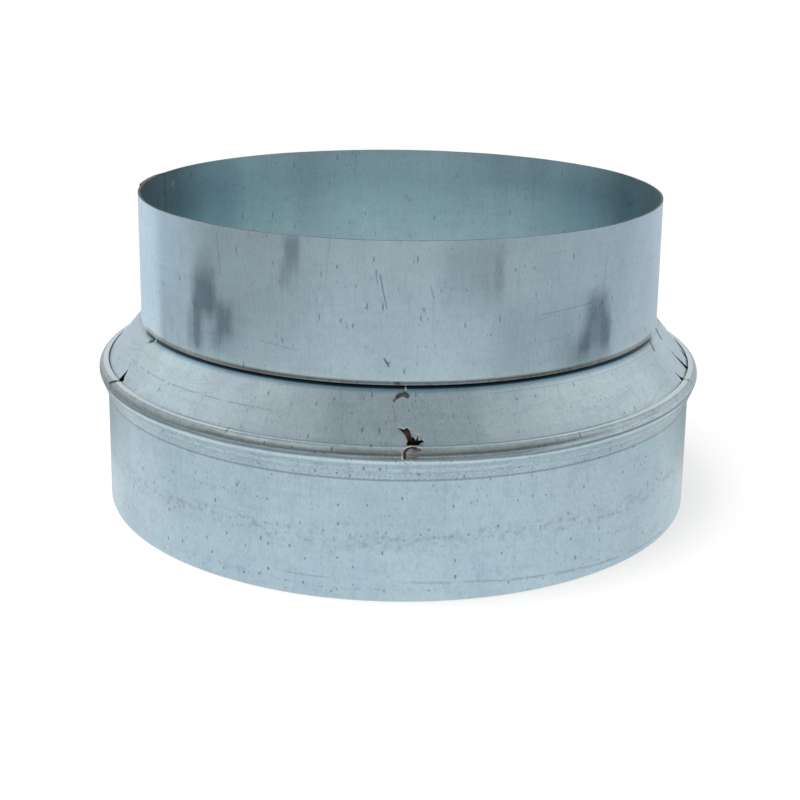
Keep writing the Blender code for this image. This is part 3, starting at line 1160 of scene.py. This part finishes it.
def smallShift(azimuth, point, normal, reach):
    height = point.y / mm
    foot = smooth(57.5, 55.5, height)
    dent = lapLift(azimuth, small["lapStart"], small)
    dent += small["unevenness"] * wander(azimuth, 3, 1) * smooth(56, 92, height)
    dent += small["footWaver"] * wander(azimuth * 4, 5, 7) * foot
    droop = small["rimWaver"] * wander(azimuth, 5, 4) * smooth(84, 92.4, height)
    # at both sides the foot is drawn in until it lies straight on the cone
    aside = abs(apart(azimuth, 0))
    tight = smooth(*small["drawnStart"], aside) * smooth(*small["drawnEnd"], aside)
    drawnIn = small["drawnIn"] * tight * small["flareRadius"] * (1 - normal.x)
    tick = bridged(azimuth)
    pressed = (small["pressedDown"] * tight + small["pressedDown"] * tick) * foot
    up = droop + drawnIn * math.tan(slope) - pressed
    # bare metal on the foot's edge where it is pushed down, painted bright as a glint
    markTints = [0, 0, tick * smooth(55.0, 54.8, height)]
    return normal.x * dent - drawnIn, normal.y * dent + up, markTints


def paintedReflections(skin):
    # painted dark reflections, with ragged edges and grit
    ragged = skin.drawnNoise(0.55, 0.16, 4, 0.65) - 0.5
    grit = skin.noise(skin.flat, 1.4, 3, 0.7)
    darkened = 0
    for azimuth, height, halfAngle, halfHeight, strength in small["darkReflections"]:
        aside = abs(skin.azimuth - azimuth + ragged * 1.2)
        above = abs(skin.height - height + ragged * 5)
        across = 1 - aside.ramp(halfAngle * 0.4, halfAngle * 1.2)
        along = 1 - above.ramp(halfHeight * 0.2, halfHeight * 1.3)
        darkened = across * along * strength + darkened
    skin.tone(darkened * (0.55 + 0.9 * grit), (0.42, 0.45, 0.48))


def footTones(skin):
    # where the seam is open: a painted cream highlight where the flare starts, then painted shade,
    # brown and patchy, down to the cut edge
    openSeam = 1 - closedSeam(skin)
    tan = abs(skin.azimuth).ramp(6, 40) * openSeam
    patchyShade = skin.noise(skin.flat, 0.7, 3, 0.6).ramp(0.5, 0.62) * openSeam
    skin.tone(skin.height.band(56.25, 0.15, 0.35) * openSeam, (1.08, 1.04, 0.97))
    skin.tone((1 - skin.height.ramp(54.9, 55.8)) * openSeam, (0.82, 0.79, 0.75))
    skin.tone((1 - skin.height.ramp(55.1, 56.2)) * tan, (0.64, 0.59, 0.52))
    skin.tone((1 - skin.height.ramp(55.0, 55.9)) * patchyShade * 0.6, (0.7, 0.58, 0.46))


def smallFinish():
    skin = Finish("zincSmallCollar", small["tint"])
    skin.sheetGrain(0.9)
    skin.dross(cell=4.6, size=0.06, share=0.7, depth=0.66, stretch=0.3)
    skin.dross(cell=2.5, size=0.075, share=0.3, depth=0.4, stretch=0.45)
    skin.dross(cell=1.3, size=0.17, share=0.5, depth=0.5, stretch=0.35, crowd=0.6)
    for start, end, half, strength in small["scratches"]:
        skin.scratch(start, end, half, strength)
    skin.scratches(6, 0.64)
    skin.scratches(-10, 0.66, 0.26)
    skin.scratches(86, 0.66, 0.26)
    paintedReflections(skin)
    # painted light and shade: pale flanks, a pale patch at the upper left, a darker lower half
    # beside the dark reflections, and darker patches low down at the left and at the right
    low = 1 - skin.height.ramp(68, 80)
    skin.flanks(small["flanks"])
    skin.tone(skin.sector(-56, -49, 3) * (1 - skin.height.ramp(66, 82)), (0.87, 0.88, 0.88))
    skin.tone(skin.sector(-33, -24, 5) * skin.height.ramp(72, 84), (1.13, 1.13, 1.11))
    skin.tone(skin.sector(22, 45, 6) * low, (0.86, 0.87, 0.88))
    skin.tone(skin.sector(33, 38, 4) * (1 - skin.height.ramp(60, 72)), (0.86, 0.87, 0.88))
    footTones(skin)
    skin.wearAndPaintedLight()
    return skin.done()


def makeSmallCollar():
    first = small["lapStart"]
    lapSpot = first + 357
    stops = stopsAround(first, first + 360 + small["lapWidth"], crimpSpots + [lapSpot], small)
    bm = sweep(closedSection(smallOutline().stations(), innerStep=4), stops, smallShift)
    closeUp(bm)
    newPiece("rolled_small_collar", bm, [smallFinish(), zincInside, cutEdge, seamEdge],
             "small_collar")


makeLargeCollar()
print("large collar made")
makeConeRing()
print("cone ring made")
makeSmallCollar()
print("small collar made")
